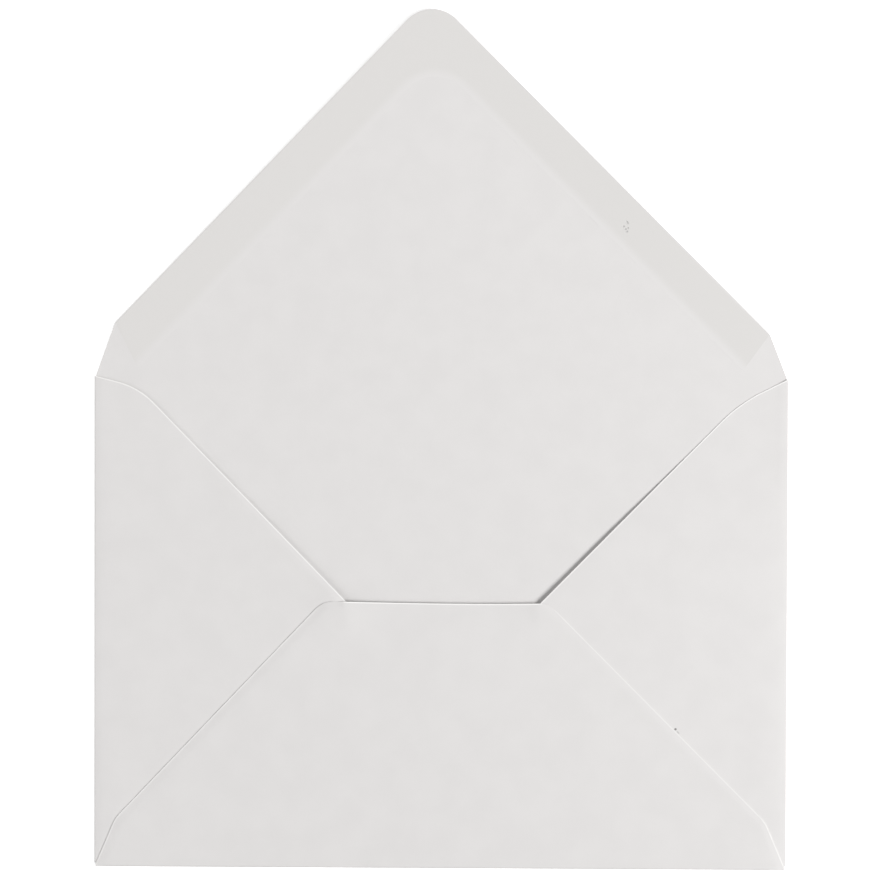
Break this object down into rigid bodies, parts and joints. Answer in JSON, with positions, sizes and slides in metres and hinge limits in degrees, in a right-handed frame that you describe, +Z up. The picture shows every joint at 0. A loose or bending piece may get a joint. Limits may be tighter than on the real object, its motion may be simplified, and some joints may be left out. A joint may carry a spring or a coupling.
{
  "type": "paper envelope",
  "caption": "Plain white letter envelope of folded paper with a pointed top flap, opened out to show the pocket and the gummed edges.",
  "frame": {"origin": "middle of the address side's outer face, which is the face that the envelope lies on", "axes": "+Z up, out of the pocket side; +Y from the pocket towards the tip of the opened top flap; +X to the right seen from the pocket side"},
  "size_m": [0.162, 0.2009, 0.0016],
  "materials": {
    "wove_paper": "matt",
    "dried_gum": "satin",
    "seam_glue": "satin"
  },
  "bodies": {
    "root": {"envelope_sheet": "wove_paper", "flap_gum": "dried_gum", "seam_glue_left": "seam_glue", "seam_glue_right": "seam_glue"}
  },
  "joints": []
}
